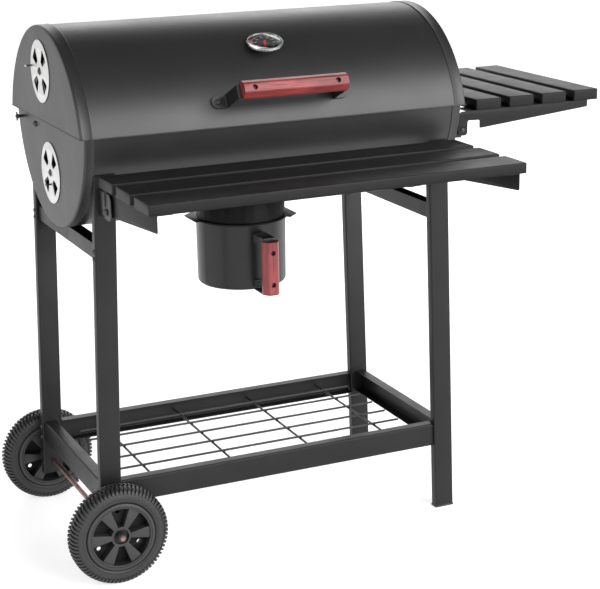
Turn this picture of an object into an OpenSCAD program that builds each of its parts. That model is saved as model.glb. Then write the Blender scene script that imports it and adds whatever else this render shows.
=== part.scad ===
// Barrel charcoal grill on a two-wheeled trolley with a front shelf and a side shelf.
// Millimetres, +Z up, front is -Y, the barrel runs along X.

/* [Trolley] */
// Clear distance between the left faces of the left and right legs at the top
leg_pitch_x = 700; // [600:1:850]
// Distance between the front faces of the front and back legs
leg_pitch_y = 394; // [300:1:500]
// Width of each leg tube across the front
leg_w = 42; // [30:1:60]
// Depth of each leg tube front to back
leg_d = 19; // [15:1:40]
// Height of the leg tops
leg_top = 790; // [700:1:900]
// Outward lean of the legs, sideways run per unit of height
splay = 0.028; // [0:0.001:0.05]
// Wall of the leg tubes
leg_wall = 1.5; // [1:0.1:3]

/* [Barrel] */
// Outer radius of the lid
lid_r = 238; // [200:1:280]
// Outer radius of the bowl
bowl_r = 225; // [190:1:270]
// Length of the lid over its end plates
lid_len = 798.5; // [600:0.5:900]
// Length of the bowl over its end plates
bowl_len = 782; // [600:1:890]
// Height of the lower edge of the lid
seam_z = 862; // [800:1:920]
// Height of the centre of the lid arc
lid_cz = 809; // [760:1:860]
// Height of the centre of the bowl arc
bowl_cz = 882; // [840:1:920]
// Sheet thickness of the shells
sheet = 1.2; // [0.8:0.1:2]
// Width of the pressed flange on each lid end plate
cap_w = 25; // [15:1:50]
// Width of the pressed flange on each bowl end plate
bowl_cap_w = 20; // [12:1:50]
// Radius of the rotating vent discs
vent_r = 60; // [40:1:75]

/* [Wheels] */
// Outer radius of the tyres
tyre_r = 99; // [70:1:120]
// Width of the tyres
tyre_w = 46; // [30:1:60]
// Radius of the axle rod
axle_r = 5; // [4:0.1:8]

/* [Shelves] */
// Height of the top of the front shelf
shelf_z = 796; // [740:1:850]
// Width of each front slat
fslat_w = 76; // [50:1:100]
// Gap between the front slats
fslat_gap = 20; // [8:1:30]
// Height of the top of the side shelf
side_z = 865; // [820:1:900]
// Width of each side slat
sslat_w = 58; // [40:1:80]
// Gap between the side slats
sslat_gap = 20; // [8:1:30]
// Depth of the folded front slats
slat_h = 20; // [12:1:30]
// Depth of the folded side slats
sslat_h = 22; // [12:1:30]

/* [Ash pot] */
// Outer radius of the ash pot
pot_r = 92; // [60:1:120]
// Height of the bottom of the ash pot
pot_z = 497; // [450:1:540]
// Height of the top of the ash pot
pot_top = 633; // [580:1:645]

/* [Hidden] */
$fn = 96;
yc = 207;                       // middle of the barrel and of the trolley, front to back
xc = (leg_pitch_x + leg_w) / 2 + 1; // middle of the barrel along its length
lid_x0 = xc - lid_len / 2 - 1.75;
lid_x1 = xc + lid_len / 2 - 1.75;
bowl_x0 = xc - bowl_len / 2;
bowl_x1 = xc + bowl_len / 2;
hub_x = 3;                      // axle line
lift = 4;                       // ground level below the zero of the leg heights
hub_z = tyre_r - lift;
wheel_out = 58;                 // outer face of the wheels from the leg face
cap_t = 5;                      // axle cap outside the wheel
side_x0 = 811;                  // first edge of the side shelf
side_x1 = side_x0 + 4 * sslat_w + 3 * sslat_gap;
side_y0 = 4;
side_y1 = 405;
fs_y1 = -28;                    // back edge of the front shelf
fs_y0 = fs_y1 - 3 * fslat_w - 2 * fslat_gap;
fs_x0 = 0;
fs_x1 = 742;
ox = (hub_x - tyre_r + side_x1) / 2;
y_back = leg_pitch_y + leg_d + wheel_out + cap_t;
oy = (fs_y0 + y_back) / 2;
rail_t = 185;                   // bottom shelf rails
rail_b = 137;
rail_web = 1.5;
rail_fl = 22;
hinge_y = 447;                  // lid hinge axis
hinge_z = seam_z;
hinge_xs = [xc - 230, xc + 230];
pin_r = 3;
fold_y = -41;                   // front shelf pivot
fold_z = 731;
fold_xs = [9, 733];             // hanger web planes
sfold_x = 780;                  // side shelf pivot
sfold_z = 806;
vent_y = 212;
vent_lid_z = 959;
vent_bowl_z = 761;
vent_t = 1.2;
grip_th = 24.6;                 // lid handle position round the lid
bar_r0 = 305.7;                 // front face of the handle strap from the lid centre
grip_r = 326;                   // front of the lid grip from the lid centre
dial_th = 50.7;                   // place of the thermometer round the lid
dial_lean = 6.5;                // lean of the dial toward the left end
dial_tilt = 69;                 // direction the dial faces, above horizontal
dial_r = 35;
dial_up = 12.6;                 // dial stand-off
px = xc + 2;                    // middle of the ash pot
grate_z = 846;

black = [0.08, 0.08, 0.085];
grey = [0.16, 0.16, 0.165];
steel = [0.75, 0.75, 0.76];
red = [0.5, 0.13, 0.1];

module at() { translate([-ox, -oy, lift]) children(); }
function leg_x(z) = -splay * (800 - z);             // left face of the left legs
function leg_xr(z) = leg_pitch_x + splay * (800 - z); // left face of the right legs
// extrude an XZ outline from y0 to y1
module slab_y(y0, y1) { translate([0, y1, 0]) rotate([90, 0, 0]) linear_extrude(y1 - y0) children(); }
// extrude a YZ outline from x0 to x1
module slab_x(x0, x1) { translate([x0, 0, 0]) rotate([90, 0, 90]) linear_extrude(x1 - x0) children(); }
module rod_x(x0, x1, r) { translate([x0, 0, 0]) rotate([0, 90, 0]) cylinder(h = x1 - x0, r = r); }
module rod_y(y0, y1, r) { translate([0, y1, 0]) rotate([90, 0, 0]) cylinder(h = y1 - y0, r = r); }
module box(a, b) { translate(a) cube(b - a); }

// ---- trolley ----
module leg_tube(right, y, z0) {
  f = function(z) right ? leg_xr(z) : leg_x(z);
  z1 = leg_top;
  zi = leg_top - leg_wall;
  difference() {
    slab_y(y, y + leg_d) polygon([[f(z0), z0], [f(z0) + leg_w, z0], [f(z1) + leg_w, z1], [f(z1), z1]]);
    slab_y(y + leg_wall, y + leg_d - leg_wall)
      polygon([[f(z0 - 1) + leg_wall, z0 - 1], [f(z0 - 1) + leg_w - leg_wall, z0 - 1],
               [f(zi) + leg_w - leg_wall, zi], [f(zi) + leg_wall, zi]]);
  }
}
// the leg tops are scalloped to fit round the bowl
module bowl_cut() translate([0, yc, bowl_cz]) rod_x(-60, 900, bowl_r + 0.2);
module legs_left() color(black) at() for (y = [0, leg_pitch_y]) difference() {
  leg_tube(false, y, 68);
  bowl_cut();
  translate([hub_x, 0, hub_z]) rod_y(y - 1, y + leg_d + 1, axle_r + 0.3);
}
module legs_right() color(black) at() for (y = [0, leg_pitch_y]) difference() { leg_tube(true, y, 4 - lift);
    bowl_cut(); }
module foot_caps() color(grey) at() for (y = [0, leg_pitch_y]) {
  x = leg_xr(4 - lift);
  box([x - 0.5, y - 0.5, -lift], [x + leg_w + 0.5, y + leg_d + 0.5, 4 - lift]);
  box([x + leg_wall + 0.6, y + leg_wall + 0.2, 3.5 - lift], [x + leg_w - leg_wall - 0.6,
      y + leg_d - leg_wall - 0.2, 16 - lift]);
}
module upper_cross_bars() color(black) at() for (x = [2, leg_pitch_x + leg_w - 2 - 26]) {
  box([x, leg_d, 625], [x + 26, leg_pitch_y, 627]);
  box([x, leg_d, 625], [x + 2, leg_pitch_y, bar_top]);
  box([x + 24, leg_d, 625], [x + 26, leg_pitch_y, bar_top]);
}
module between_legs() slab_y(0, leg_pitch_y + leg_d)
  polygon([[leg_x(100) + leg_w, 100], [leg_xr(100), 100], [leg_xr(220), 220], [leg_x(220) + leg_w, 220]]);
module rack_long_rails() color(black) at() intersection() {
  between_legs();
  for (m = [0, 1]) translate([0, m ? 2 * yc - 1 : 0, 0]) mirror([0, m, 0]) {
    y = 6;
    box([0, y, rail_b], [760, y + rail_web, rail_t]);
    box([0, y, rail_t - rail_web], [760, y + rail_fl, rail_t]);
    box([0, y, rail_b], [760, y + rail_fl, rail_b + rail_web]);
  }
}
module rack_side_rails() color(black) at() for (m = [0, 1])
  translate([m ? 2 * xc - 2 : 0, 0, 0]) mirror([m, 0, 0]) {
    x = -12;
    box([x, leg_d, rail_b], [x + rail_web, leg_pitch_y, rail_t]);
    box([x, leg_d, rail_t - rail_web], [x + 24, leg_pitch_y, rail_t]);
    box([x, leg_d, rail_b], [x + 24, leg_pitch_y, rail_b + rail_web]);
  }
wire_r = 2.3;
rack_mid = 161;
bar_top = 657;
module wire_rack() color(black) at() {
  for (i = [-1.5, -0.5, 0.5, 1.5]) translate([xc + i * 174, 0, rack_mid])
    rod_y(6 + rail_web, 2 * yc - 7 - rail_web, wire_r);
  for (i = [-2.5:1:2.5]) translate([0, yc - 0.5 + i * 61, rack_mid + 1.7 * wire_r])
    rod_x(xc - 320, xc + 320, wire_r);
}
module dome(r, h) { intersection() { cylinder(h = h, r = r); translate([0, 0, h - r * 1.15])
    sphere(r = r * 1.15); } }
// heads on the leg fronts, on the wheel side and on the hidden side of every leg
module frame_bolts() color(grey) at() {
  for (z = [150, 172]) for (m = [0, 1]) for (y = [leg_pitch_y + 9.5, 9.5])
    if (m == 0) translate([leg_x(z), y, z]) rotate([0, -90 + atan(splay), 0]) dome(5, 3);
    else translate([leg_xr(z) + leg_w, y, z]) rotate([0, 90 - atan(splay), 0]) dome(5, 3);
  for (z = [632, 646]) for (m = [0, 1]) for (y = [leg_pitch_y + 9.5, 9.5])
    if (m == 0) translate([leg_x(z), y, z]) rotate([0, -90 + atan(splay), 0]) dome(5, 3);
    else translate([leg_xr(z) + leg_w, y, z]) rotate([0, 90 - atan(splay), 0]) dome(5, 3);
}
module axle() color([0.35, 0.2, 0.15]) at() translate([hub_x, 0, hub_z]) {
  rod_y(-wheel_out - cap_t + 1.5, y_back - 1.5, axle_r);
  for (m = [0, 1]) translate([0, m ? 2 * (yc - 0.5) : 0, 0]) mirror([0, m, 0])
    translate([0, -wheel_out - cap_t, 0]) rotate([-90, 0, 0]) cylinder(h = 3, r1 = axle_r - 1.5,
        r2 = axle_r);
}
// push-on rings that hold the wheels
module axle_caps() color(black) at() translate([hub_x, 0, hub_z]) for (m = [0, 1])
  translate([0, m ? 2 * (yc - 0.5) : 0, 0]) mirror([0, m, 0]) difference() {
    translate([0, -wheel_out - 2, 0]) rotate([-90, 0, 0]) cylinder(h = 3.5, r1 = 7.5, r2 = 9);
    rod_y(-wheel_out - 5, 0, axle_r);
  }
module axle_washers() color(steel) at() translate([hub_x, 0, hub_z]) for (m = [0, 1])
  translate([0, m ? 2 * (yc - 0.5) : 0, 0]) mirror([0, m, 0]) difference() {
    rod_y(-2, 0, 11);
    rod_y(-3, 1, axle_r + 0.1);
  }

// ---- wheels, axis through the origin, outer face toward -Y ----
module rim() {
  // rim ring, web, hub ring and bored hub turned as one section, then the spokes
  difference() {
    union() {
      rotate([0, 20, 0]) rotate([-90, 0, 0]) rotate_extrude() polygon([
        [axle_r + 0.05, -56], [9, -56], [9, -42], [15.5, -42], [15.5, -52.6], [20, -52.6], [20, -35],
        [58, -35], [58, -55], [67, -55], [69, -53], [69, -11], [67, -9], [58, -9], [58, -30],
        [20, -30], [20, -13.4], [15.5, -13.4], [15.5, -24], [9, -24], [9, -2.5], [axle_r + 0.05, -2.5]]);
      for (a = [0:60:300]) rotate([0, a, 0]) slab_y(-52, -14)
        polygon([[17, -4.8], [17, 4.8], [60, 12.6], [60, -12.6]]);
    }
    for (a = [90, 210, 330]) rotate([0, -a, 0]) translate([47, 0, 0]) rod_y(-60, 0, 4.6);
  }
}
module tyre() {
  h = tyre_w / 2;
  rotate([-90, 0, 0]) rotate_extrude()
    polygon([[69, -32 - h + 5], [73, -32 - h + 1], [80, -32 - h], [90, -32 - h + 1.5],
             [tyre_r - 2, -32 - h + 7], [tyre_r, -32 - h + 15], [tyre_r, -32 + h - 15],
             [tyre_r - 2, -32 + h - 7], [90, -32 + h - 1.5], [80, -32 + h], [73, -32 + h - 1],
             [69, -32 + h - 5]]);
}
module on_front() { at() translate([hub_x, 0, hub_z]) children(); }
module on_back() { at() translate([hub_x, 2 * yc - 1, hub_z]) mirror([0, 1, 0]) children(); }
module wheel_front() color(black) on_front() rim();
module tyre_front() color(black) on_front() tyre();
module wheel_back() color(black) on_back() rim();
module tyre_back() color(black) on_back() tyre();

// ---- barrel ----
module arc_shell(x0, x1, cz, r, t) translate([0, yc, cz]) difference() { rod_x(x0, x1, r);
    rod_x(x0 - 1, x1 + 1, r - t); }
module cap(x0, x1, cz, r, t, w) {
  // pressed end plate: disc at x0, flange toward x1
  s = sign(x1 - x0);
  translate([0, yc, cz]) {
    rod_x(min(x0, x0 + s * 1.5), max(x0, x0 + s * 1.5), r);
    difference() { rod_x(min(x0, x0 + s * w), max(x0, x0 + s * w), r); rod_x(x0 - 50, x0 + 50, r - t); }
  }
}
module above(z) box([-200, -200, z], [1200, 700, 1400]);
module below(z) box([-200, -200, 0], [1200, 700, z]);
bowl_rim = seam_z + 3;
// four wedge openings between two radii, each w degrees either side of its middle
module wedges(x0, x1, ri, ro, w, turn) for (a = [45:90:315]) rotate([a + turn, 0, 0]) slab_x(x0, x1)
  polygon([[ri * cos(w), ri * sin(w)], [ro * cos(w), ro * sin(w)], [ro * cos(w), -ro * sin(w)],
      [ri * cos(w), -ri * sin(w)]]);
module bowl_shell() color(black) at() difference() {
  intersection() { arc_shell(bowl_x0 + 1.5, bowl_x1 - 1.5, bowl_cz, bowl_r - sheet, sheet);
      below(bowl_rim); }
  translate([px, yc, 600]) cylinder(h = 100, r = 80);
}
module bowl_end_left() color(grey) at() difference() {
  intersection() { cap(bowl_x0, bowl_x1, bowl_cz, bowl_r, sheet, bowl_cap_w); below(bowl_rim); }
  translate([0, vent_y, vent_bowl_z]) wedges(bowl_x0 - 1, bowl_x0 + 3, 23, 48, 16, -3);
  translate([0, vent_y, vent_bowl_z]) rod_x(bowl_x0 - 1, bowl_x0 + 3, pin_r + 0.2);
}
module bowl_end_right() color(grey) at()
  intersection() { cap(bowl_x1, bowl_x0, bowl_cz, bowl_r, sheet, bowl_cap_w); below(bowl_rim); }
module lid_shell() color(black) at() difference() {
  intersection() { arc_shell(lid_x0 + 1.5, lid_x1 - 1.5, lid_cz, lid_r - sheet, sheet); above(seam_z); }
  dial_at() translate([0, 0, -30]) cylinder(h = 60, r = 5.2);
}
module lid_end_left() color(grey) at() difference() {
  intersection() { cap(lid_x0, lid_x1, lid_cz, lid_r, sheet, cap_w); above(seam_z); }
  translate([0, vent_y, vent_lid_z]) wedges(lid_x0 - 1, lid_x0 + 3, 23, 48, 16, -10);
  translate([0, vent_y, vent_lid_z]) rod_x(lid_x0 - 1, lid_x0 + 3, pin_r + 0.2);
}
module lid_end_right() color(grey) at()
  intersection() { cap(lid_x1, lid_x0, lid_cz, lid_r, sheet, cap_w); above(seam_z); }
// rotating disc with a turning pin at (py, pz) from its middle
module vent_disc(x, y, z, py, pz) translate([0, y, z]) difference() {
  union() {
    rod_x(x - 0.5 - vent_t, x - 0.5, vent_r);
    translate([0, py, pz]) { rod_x(x - 13, x - 1, 1.6); rod_x(x - 15, x - 12, 2.4); }
  }
  wedges(x - 5, x, 22, 49.5, 18, 0);
  rod_x(x - 12, x + 1, pin_r + 0.05);
}
module vent_rivet(x, y, z) translate([0, y, z]) {
  rod_x(x - 0.9 - vent_t, x + 3, pin_r);
  translate([x - 0.9 - vent_t, 0, 0]) rotate([0, -90, 0]) dome(8, 3.5);
  rod_x(x + 1.6, x + 3.5, 6);
}
module lid_vent_disc() color(steel) at() vent_disc(lid_x0, vent_y, vent_lid_z, 54, 5);
module bowl_vent_disc() color(steel) at() vent_disc(bowl_x0, vent_y, vent_bowl_z, 0, -23);
module lid_vent_rivet() color(steel) at() vent_rivet(lid_x0, vent_y, vent_lid_z);
module bowl_vent_rivet() color(steel) at() vent_rivet(bowl_x0, vent_y, vent_bowl_z);
module ash_collar() color(black) at() {
  z0 = pot_top + 1;
  difference() {
    translate([px, yc, z0]) cylinder(h = 60, r = 91);
    translate([px, yc, z0 - 1]) cylinder(h = 62, r = 89.5);
    translate([0, yc, bowl_cz]) rod_x(0, 800, bowl_r - sheet);
  }
  difference() {
    union() {
      translate([px, yc, z0]) cylinder(h = 2, r = 98);
      translate([px, yc, z0]) linear_extrude(2)
        polygon([[-107, -20], [-107, 44], [-82, 68], [-60, 40], [107, 20], [107, -44], [82, -68], [60, -40]]);
    }
    translate([px, yc, z0 - 1]) cylinder(h = 4, r = 90);
  }
}
module grate_ledges() color(grey) at() intersection() {
  translate([0, yc, bowl_cz]) rod_x(bowl_x0 + 2, bowl_x1 - 2, bowl_r - 2 * sheet);
  union() {
    for (m = [0, 1]) translate([0, m ? 2 * yc : 0, 0]) mirror([0, m, 0]) {
      box([bowl_x0 + 4, -40, grate_z - 6], [bowl_x1 - 4, 14, grate_z - 4.4]);
      for (x = [bowl_x0 + 60, xc, bowl_x1 - 60]) box([x - 8, -40, 722], [x + 8, 78, 723.6]);
    }
  }
}
bar_r = 2.5;
module charcoal_grate() color(grey) at() {
  x0 = bowl_x0 + 20; x1 = bowl_x1 - 20; z = 723.7 + bar_r;
  for (y = [yc - 138, yc + 138]) translate([0, y, z]) rod_x(x0, x1, bar_r);
  for (i = [0:28]) translate([x0 + 6 + i * (x1 - x0 - 12) / 28, 0, z + 2]) rod_y(yc - 138, yc + 138,
      bar_r);
}
module grate(x0, x1) {
  z = grate_z - 4.3 + 3;
  for (m = [0, 1]) translate([0, m ? 2 * yc : 0, 0]) mirror([0, m, 0])
    box([x0, yc - 206, z - 3], [x1, yc - 200, z + 3]);
  for (x = [x0, x1 - 6]) box([x, yc - 206, z - 3], [x + 6, yc + 206, z + 3]);
  n = 24;
  for (i = [1:n - 1]) translate([x0 + 3 + i * (x1 - x0 - 6) / n, 0, z]) rod_y(yc - 203, yc + 203, 2);
  box([x0 + 3, yc - 2.5, z - 4], [x1 - 3, yc + 2.5, z - 0.5]);
}
module grate_left() color(steel) at() grate(bowl_x0 + 20, xc - 4);
module grate_right() color(steel) at() grate(xc + 4, bowl_x1 - 20);

// lid hinge at the back
module hinge_bar(x0, x1) translate([0, hinge_y, hinge_z]) rod_x(x0, x1, 6);
module bowl_hinge_leaves() color(black) at() difference() {
  for (hx = hinge_xs) {
    for (x = [hx - 24, hx + 12.4]) { hinge_bar(x, x + 11.6); box([x, 432, 848], [x + 11.6, hinge_y,
        857.5]); }
    box([hx - 24, yc + bowl_r - 9, 832], [hx + 24, yc + bowl_r + 2, 857.5]);
  }
  translate([0, hinge_y, hinge_z]) rod_x(0, 800, pin_r + 0.2);
  translate([0, yc, bowl_cz]) rod_x(0, 800, bowl_r - sheet);
}
module lid_hinge_leaves() color(black) at() difference() {
  for (hx = hinge_xs) {
    hinge_bar(hx - 12, hx + 12);
    translate([0, yc, lid_cz]) rotate([17, 0, 0]) {
      box([hx - 22, lid_r - 4, -7], [hx + 22, lid_r + 1.5, 26]);
      box([hx - 12, lid_r - 4, -17], [hx + 12, lid_r + 7.5, -5]);
    }
  }
  translate([0, hinge_y, hinge_z]) rod_x(0, 800, pin_r + 0.06);
  translate([0, yc, lid_cz]) rod_x(0, 800, lid_r - sheet, $fn = 480);
}
module hinge_pins() color(steel) at() for (hx = hinge_xs) translate([0, hinge_y, hinge_z]) {
  rod_x(hx - 26, hx + 26, pin_r);
  rod_x(hx - 27.5, hx - 24.3, 5);
  rod_x(hx + 24.3, hx + 27.5, 5);
}
// stop bolt and wing bolt on the left end of the bowl
module wing_bolts() color(black) at() {
  translate([bowl_x0, 303, 843]) rotate([0, -90, 0]) dome(6.5, 5);
  translate([bowl_x0, 390, 846]) {
    rod_x(-16.5, 0, 3);
    rod_x(-15.5, -10, 5);
    box([-15, -1.5, -9.5], [-12, 1.5, 9.5]);
  }
}

// ---- lid handle: bent strap, wooden grip ----
module lid_frame(th) { translate([0, yc, lid_cz]) rotate([-th, 0, 0]) children(); }
// local frame: -Y is outward, Z runs round the lid
strap_w = 26;
arm_x = 112;
foot_x = 128;
module lid_handle_strap() color(black) at() lid_frame(grip_th) difference() {
  union() {
    for (s = [-1, 1]) {
      box([xc + min(s * arm_x, s * (arm_x - 3)), -bar_r0, -strap_w / 2], [xc + max(s * arm_x,
          s * (arm_x - 3)), -lid_r + 3, strap_w / 2]);
      box([xc + min(s * arm_x, s * foot_x), -lid_r - 3, -strap_w / 2], [xc + max(s * arm_x,
          s * foot_x), -lid_r + 3, strap_w / 2]);
      translate([xc + s * foot_x, 0, 0]) rod_y(-lid_r - 3, -lid_r + 3, strap_w / 2);
    }
    box([xc - arm_x, -bar_r0, -strap_w / 2], [xc + arm_x, -bar_r0 + 3, strap_w / 2]);
  }
  rod_x(0, 800, lid_r - sheet);
}
module lid_grip() color(red) at() lid_frame(grip_th) difference() {
  h = 17; l = 106; y0 = -grip_r; y1 = -bar_r0;
  intersection() {
    slab_x(xc - l, xc + l) polygon([[y1, -h + 1], [y1, h - 1], [y1 - 1, h], [y0 + 13, h], [y0 + 8, h - 2],
        [y0 + 1.5, 10], [y0, 7.5], [y0, -7.5], [y0 + 1.5, -10], [y0 + 8, -h + 2], [y0 + 13, -h],
        [y1 - 1, -h]]);
    slab_y(y0 - 1, y1 + 1) polygon([[xc - l, -h + 3], [xc - l, h - 3], [xc - l + 3, h], [xc + l - 3,
        h], [xc + l, h - 3], [xc + l, -h + 3], [xc + l - 3, -h], [xc - l + 3, -h]]);
  }
  for (s = [-1, 1]) translate([xc + s * 84.5, 0, 0]) { rod_y(y0 - 1, y0 + 9, 5); rod_y(y0, y1 + 1, 2.6); }
}
module lid_handle_screws() color(steel) at() lid_frame(grip_th) for (s = [-1, 1]) {
  translate([xc + s * 84.5, 0, 0]) { rod_y(-grip_r + 5.5, -grip_r + 8.8, 4.5); rod_y(-grip_r + 8,
      -bar_r0 - 0.2, 2.4); }
  translate([xc + s * 84.5, 0, 0]) rod_y(-bar_r0 + 3.1, -bar_r0 + 8, 5);
  translate([xc + s * foot_x, -lid_r - 3.05, 0]) rotate([90, 0, 0]) dome(5.5, 3.2);
}

// ---- thermometer: local frame, Z out of the lid ----
module dial_at() translate([xc - 1.5, yc - lid_r * cos(dial_th), lid_cz + lid_r * sin(dial_th)])
  rotate([90 - dial_tilt, 0, 0]) rotate([0, -dial_lean, 0]) children();
module thermo_case() color(steel) at() dial_at() rotate_extrude() polygon([[3.3, 3.6], [9, 3.6], [9, 6.6],
  [20, 7.4], [29, 9.2], [33.5, 10.4], [dial_r, 11], [dial_r, dial_up + 1.4], [dial_r - 0.8, dial_up + 2],
  [dial_r - 4, dial_up + 2], [dial_r - 4, dial_up - 1], [3.3, dial_up - 1]]);
module thermo_dial() color(black) at() dial_at() translate([0, 0, dial_up - 0.9]) difference() {
  cylinder(h = 0.5, r = dial_r - 4.1);
  translate([0, 0, -1]) cylinder(h = 3, r = 1.6);
}
module thermo_glass() color([0.8, 0.85, 0.9, 0.3]) at() dial_at() translate([0, 0, dial_up + 0.8])
    cylinder(h = 0.9, r = dial_r - 4.1);
module thermo_needle() color(red) at() dial_at() translate([0, 0, dial_up - 0.1]) {
  cylinder(h = 0.6, r = 3);
  rotate([0, 0, 160]) linear_extrude(0.4) polygon([[-1.6, -8], [1.6, -8], [0.4, 25], [-0.4, 25]]);
}
module thermo_stem() color(steel) at() dial_at() {
  translate([0, 0, -55]) cylinder(h = 55 + dial_up - 1.1, r = 3.2);
  difference() { translate([0, 0, -20]) cylinder(h = 6, r = 9, $fn = 6); translate([0, 0, -21])
      cylinder(h = 8, r = 3); }
}

// ---- ash pot ----
module ash_pot() color(black) at() translate([px, yc, 0]) rotate_extrude() {
  r = pot_r; t = 1.5; b = pot_z;
  polygon([[0, b], [r - 9, b], [r - 4.5, b + 1.2], [r - 1.2, b + 4.5], [r, b + 9], [r, pot_top - 3],
      [r + 2.5, pot_top - 3],
    [r + 2.5, pot_top], [r - t, pot_top], [r - t, b + 9.5], [r - t - 1, b + 5.8], [r - 5.5, b + 2.6],
        [r - 9, b + t], [0, b + t]]);
}
grip_y = 42;
ps0 = 499;
ps1 = 617.5;
pot_holes = [524.4, 589.8];
module pot_strap() color(black) at() difference() {
  y1 = yc - pot_r; yb = grip_y + 21; w = 12;
  union() {
    box([px - w, yb, ps0], [px + w, y1 + 6, ps0 + 3]);
    box([px - w, yb, ps1 - 3], [px + w, y1 + 6, ps1]);
    box([px - w, yb, ps0], [px + w, yb + 3, ps1]);
    box([px - w, y1 - 2.2, ps0], [px + w, y1 + 6, ps0 + 20]);
    box([px - w, y1 - 2.2, ps1 - 20], [px + w, y1 + 6, ps1]);
  }
  translate([px, yc, 400]) cylinder(h = 300, r = pot_r);
}
module pot_grip() color(red) at() difference() {
  w = 17.5; z0 = ps0 + 4; z1 = ps1 - 6.3; y0 = grip_y; y1 = grip_y + 21;
  intersection() {
    translate([px, 0, z0]) linear_extrude(z1 - z0)
      polygon([[-w + 1, y1], [-w, y1 - 1], [-w, y0 + 13], [-w + 2, y0 + 8], [-10, y0 + 1.5], [-7.5, y0],
          [7.5, y0], [10, y0 + 1.5], [w - 2, y0 + 8], [w, y0 + 13], [w, y1 - 1], [w - 1, y1]]);
    slab_y(y0 - 1, y1 + 1) polygon([[px - w + 3, z0], [px - w, z0 + 3], [px - w, z1 - 3], [px - w + 3,
        z1],
      [px + w - 3, z1], [px + w, z1 - 3], [px + w, z0 + 3], [px + w - 3, z0]]);
  }
  for (z = pot_holes) translate([px, 0, z]) { rod_y(y0 - 1, y0 + 9, 5); rod_y(y0, y1 + 1, 2.6); }
}
module pot_screws() color(steel) at() {
  for (z = pot_holes) translate([px, 0, z]) { rod_y(grip_y + 5.5, grip_y + 8.8, 4.5);
      rod_y(grip_y + 8, grip_y + 20.8, 2.4); }
  for (z = [ps0 + 11, ps1 - 10]) translate([px, yc - pot_r - 2.25, z]) rotate([90, 0, 0]) dome(5, 3);
}

// ---- shelves: folded sheet slats, open underneath ----
module slat(l, w, h, t) difference() { box([0, 0, -h], [l, w, 0]); box([t, t, -h - 1], [l - t, w - t,
    -t]); }
module front_shelf_slats() color(black) at() for (i = [0:2])
  translate([fs_x0, fs_y0 + i * (fslat_w + fslat_gap), shelf_z]) slat(fs_x1 - fs_x0, fslat_w, slat_h,
      1.2);
module bracket_yz(x0, x1) difference() {
  slab_x(x0, x1) polygon([[fs_y0 + 2, shelf_z - slat_h], [fs_y0 + 2, 744], [-92, 726], [-60, 724],
      [-49, 717], [-33, 717],
    [-31, 724], [-31, shelf_z - slat_h]]);
  translate([0, fold_y, fold_z]) rod_x(x0 - 1, x1 + 1, 4.2);
}
module front_shelf_brackets() color(black) at() {
  bracket_yz(14, 15.5); bracket_yz(726.5, 728);
  for (x = [15.5, 698]) box([x, fs_y0 + 2, shelf_z - slat_h - 1.5], [x + 28.5, -31, shelf_z - slat_h]);
}
module front_shelf_pins() color(grey) at() for (m = [0, 1]) translate([m ? 2 * xc - 2 : 0, fold_y,
    fold_z]) mirror([m, 0, 0]) {
  rod_x(6, 17, 4);
  translate([6.2, 0, 0]) rotate([0, -90, 0]) dome(7, 4);
  rod_x(16, 18.5, 7);
}
module shelf_hangers() color(grey) at() for (m = [0, 1]) translate([m ? 2 * xc - 2 : 0, 0, 0])
    mirror([m, 0, 0]) difference() {
  union() {
    slab_x(8, 10) polygon([[0, 766], [-58, 766], [-66, 758], [-66, 726], [-56, 716], [0, 716]]);
    box([8, -2, 716], [36, 0, 766]);
  }
  translate([0, fold_y, fold_z]) rod_x(6, 12, 4.06);
  for (z = [742:2:762]) translate([0, fold_y + 6, z]) rod_x(6, 12, 3);
}
module hanger_bolts() color(grey) at() for (m = [0, 1]) translate([m ? 2 * xc - 2 : 0, 0, 0])
    mirror([m, 0, 0])
  for (z = [728, 754]) translate([26, -2.02, z]) rotate([90, 0, 0]) dome(5, 3.2);
module side_shelf_slats() color(black) at() for (i = [0:3])
  translate([side_x0 + i * (sslat_w + sslat_gap), side_y0, side_z]) slat(sslat_w, side_y1 - side_y0,
      sslat_h, 1.2);
module bracket_xz(y0, y1) difference() {
  slab_y(y0, y1) polygon([[side_x1 - 24, side_z - sslat_h], [side_x1 - 24, side_z - sslat_h - 14], [820,
      806], [820, 823],
    [792, 824], [791, 797], [787, 794], [774, 794], [770, 798], [770, 838], [778, side_z - sslat_h]]);
  translate([sfold_x, 0, sfold_z]) rod_y(y0 - 1, y1 + 1, 4.2);
}
module side_shelf_brackets() color(black) at() {
  bracket_xz(side_y0 + 2, side_y0 + 3.5);
  bracket_xz(side_y1 - 3.5, side_y1 - 2);
  for (y = [side_y0 + 3.5, side_y1 - 48]) box([792, y, side_z - sslat_h - 1.5], [side_x1 - 24, y + 44.5,
      side_z - sslat_h]);
}
module side_shelf_pins() color(grey) at() for (m = [0, 1])
  translate([sfold_x, m ? side_y0 + side_y1 : 0, sfold_z]) mirror([0, m, 0]) {
    rod_y(side_y0 + 1, side_y0 + 12, 4);
    translate([0, side_y0 + 1.8, 0]) rotate([90, 0, 0]) dome(5.5, 3);
    rod_y(side_y0 + 10, side_y0 + 12.5, 6.5);
  }
module side_mounts() color(grey) at() for (m = [0, 1]) translate([0, m ? side_y0 + side_y1 : 0, 0])
    mirror([0, m, 0]) difference() {
  union() {
    box([bowl_x1, side_y0 + 6, 790], [sfold_x, side_y0 + 8, 822]);
    translate([sfold_x, 0, sfold_z]) rod_y(side_y0 + 6, side_y0 + 8, 9);
    box([bowl_x1, side_y0 + 6, 790], [bowl_x1 + 2, side_y0 + 30, 822]);
  }
  translate([sfold_x, 0, sfold_z]) rod_y(side_y0, side_y0 + 20, 4.06);
}

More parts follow.
